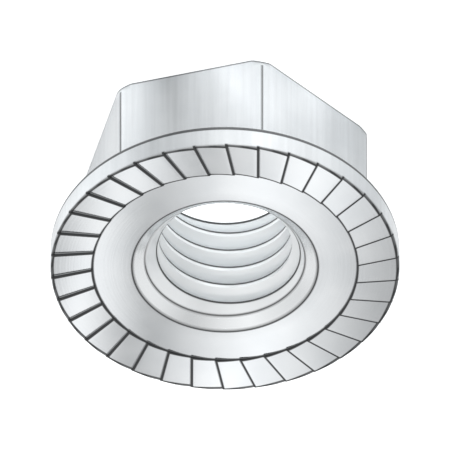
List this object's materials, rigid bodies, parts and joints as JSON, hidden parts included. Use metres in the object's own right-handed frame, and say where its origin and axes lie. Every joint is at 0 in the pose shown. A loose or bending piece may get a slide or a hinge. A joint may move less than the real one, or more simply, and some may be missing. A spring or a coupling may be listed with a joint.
{
  "type": "serrated flange nut",
  "caption": "Hexagon nut with a wide round flange, whose bearing face has a ring of askew ratchet serrations round a countersunk threaded hole.",
  "frame": {"origin": "on the thread's axis, in the plane of the hexagon end, on which the nut stands", "axes": "+Z along the thread's axis, from the hexagon end towards the serrated bearing face; X through two opposite corners of the hexagon, Y square to two opposite flats"},
  "size_m": [0.0218, 0.0218, 0.0097],
  "materials": {
    "zinc_plate": "bright zinc plating on cold-formed steel, satin to glossy, with faint forming and turning marks"
  },
  "bodies": {
    "root": {"flange_nut": "zinc_plate"}
  },
  "joints": []
}
